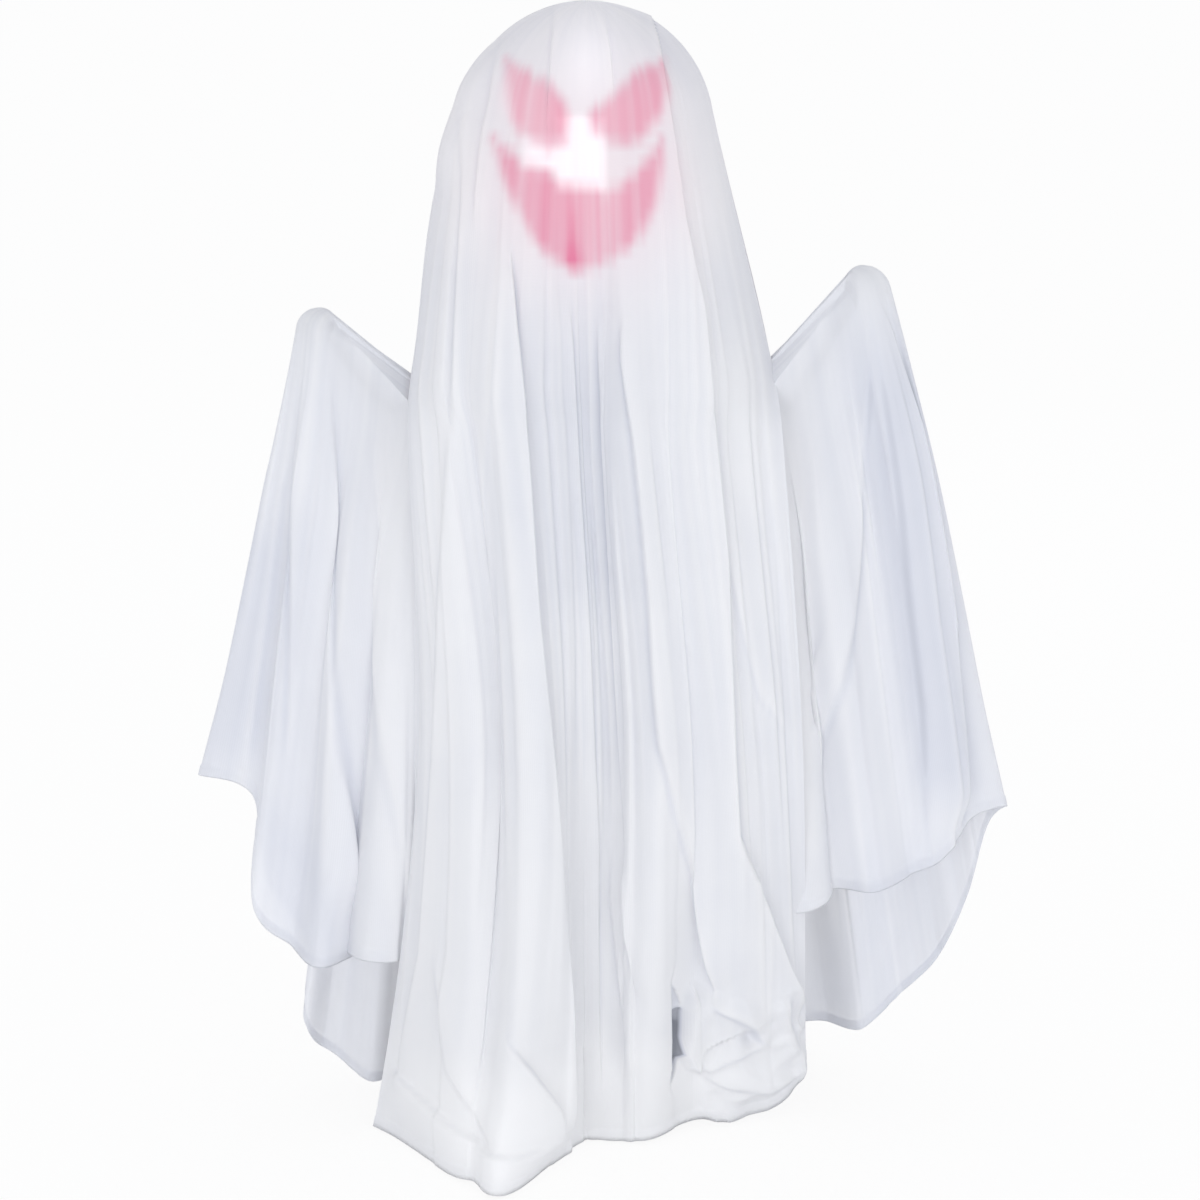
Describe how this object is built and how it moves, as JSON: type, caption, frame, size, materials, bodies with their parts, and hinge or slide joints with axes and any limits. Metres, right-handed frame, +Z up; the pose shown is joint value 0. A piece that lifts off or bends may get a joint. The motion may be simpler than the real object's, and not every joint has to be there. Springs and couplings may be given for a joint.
{
  "type": "animated rising ghost decoration",
  "caption": "Free-standing draped ghost with a lit grinning head and raised arms, on a motor-driven telescoping mast that lifts and lowers it above a weighted round base.",
  "frame": {"origin": "centre of the foot pad's underside on the floor, on the mast's axis", "axes": "+Z up along the mast, the face looks along -Y, +X to the right of a viewer facing it"},
  "size_m": [0.8772, 0.5251, 1.2025],
  "materials": {
    "pad_rubber": "matte",
    "base_plastic": "fine texture",
    "red_plastic": "gloss",
    "ballast_steel": "raw",
    "screw_steel": "zinc plated",
    "battery_wrap": "printed wrap",
    "board_green": "solder mask",
    "mast_alu": "anodised",
    "column_paint": "powder coat",
    "arm_paint": "powder coat",
    "nylon": "natural nylon",
    "gear_acetal": "acetal",
    "brass": "turned",
    "motor_can": "plated can",
    "hand_foam": "foam",
    "head_plastic": "translucent white",
    "lens_pink": "translucent pink",
    "led_white": "white solder mask",
    "led_clear": "tinted epoxy",
    "sheer_cloth": "sheer woven"
  },
  "bodies": {
    "base": {"foot_pad": "pad_rubber", "base_plate": "base_plastic", "base_housing": "base_plastic", "battery_box": "base_plastic", "column_collar": "base_plastic", "button_switch": "base_plastic", "switch_body": "base_plastic", "gear_cover": "base_plastic", "speaker": "base_plastic", "ballast_ring": "ballast_steel", "base_screws": "screw_steel", "board_screws": "screw_steel", "collar_screws": "screw_steel", "drive_screws": "screw_steel", "battery_door_pin": "screw_steel", "batteries": "battery_wrap", "control_board": "board_green", "drive_frame": "mast_alu", "mast_column": "column_paint", "upper_guide": "nylon", "shaft_bushes": "brass", "drive_motor": "motor_can", "front_cloth": "sheer_cloth", "back_cloth": "sheer_cloth", "left_wing": "sheer_cloth", "right_wing": "sheer_cloth"},
    "mast": {"mast_tube": "mast_alu", "rack": "gear_acetal", "slide_block": "nylon", "shoulder_block": "base_plastic", "arm_screws": "screw_steel", "left_arm": "arm_paint", "right_arm": "arm_paint", "left_hand": "hand_foam", "right_hand": "hand_foam", "neck_socket": "base_plastic", "head_shell_front": "head_plastic", "head_shell_back": "head_plastic", "head_screws": "screw_steel", "left_eye_lens": "lens_pink", "right_eye_lens": "lens_pink", "mouth_lens": "lens_pink", "lamp_post": "head_plastic", "led_board": "led_white", "leds": "led_clear"},
    "drive_shaft": {"drive_shaft": "screw_steel", "rack_pinion": "gear_acetal", "drive_gear": "gear_acetal"},
    "motor_shaft": {"motor_pinion": "brass"},
    "power_switch": {"switch_knob": "red_plastic"},
    "test_button": {"test_button": "red_plastic"},
    "battery_door": {"battery_door": "base_plastic"}
  },
  "joints": [
    {"name": "mast_rise", "type": "slide", "parent": "base", "child": "mast", "axis": [0, 0, 1], "range_m": [-0.3, 0], "deforming": ["front_cloth", "back_cloth", "left_wing", "right_wing"]},
    {"name": "shaft_spin", "type": "hinge", "parent": "base", "child": "drive_shaft", "pos_m": [0, 0.033, 0.3709], "axis": [1, 0, 0], "range_deg": [0, 1075]},
    {"name": "motor_spin", "type": "hinge", "parent": "base", "child": "motor_shaft", "pos_m": [0, 0.067, 0.3709], "axis": [1, 0, 0], "range_deg": [-5014, 0]},
    {"name": "switch_slide", "type": "slide", "parent": "base", "child": "power_switch", "axis": [0, 1, 0], "range_m": [0, 0.006]},
    {"name": "button_press", "type": "slide", "parent": "base", "child": "test_button", "axis": [0, 0, 1], "range_m": [-0.003, 0], "stiffness_N_per_m": 250, "springref_m": 0.001},
    {"name": "door_hinge", "type": "hinge", "parent": "base", "child": "battery_door", "pos_m": [0, 0.1075, 0.065], "axis": [-1, 0, 0], "range_deg": [0, 100]}
  ],
  "couplings": [
    {"joint": "shaft_spin", "follows": "mast_rise", "rad_per_m": -62.5},
    {"joint": "motor_spin", "follows": "mast_rise", "rad_per_m": 291.67}
  ]
}
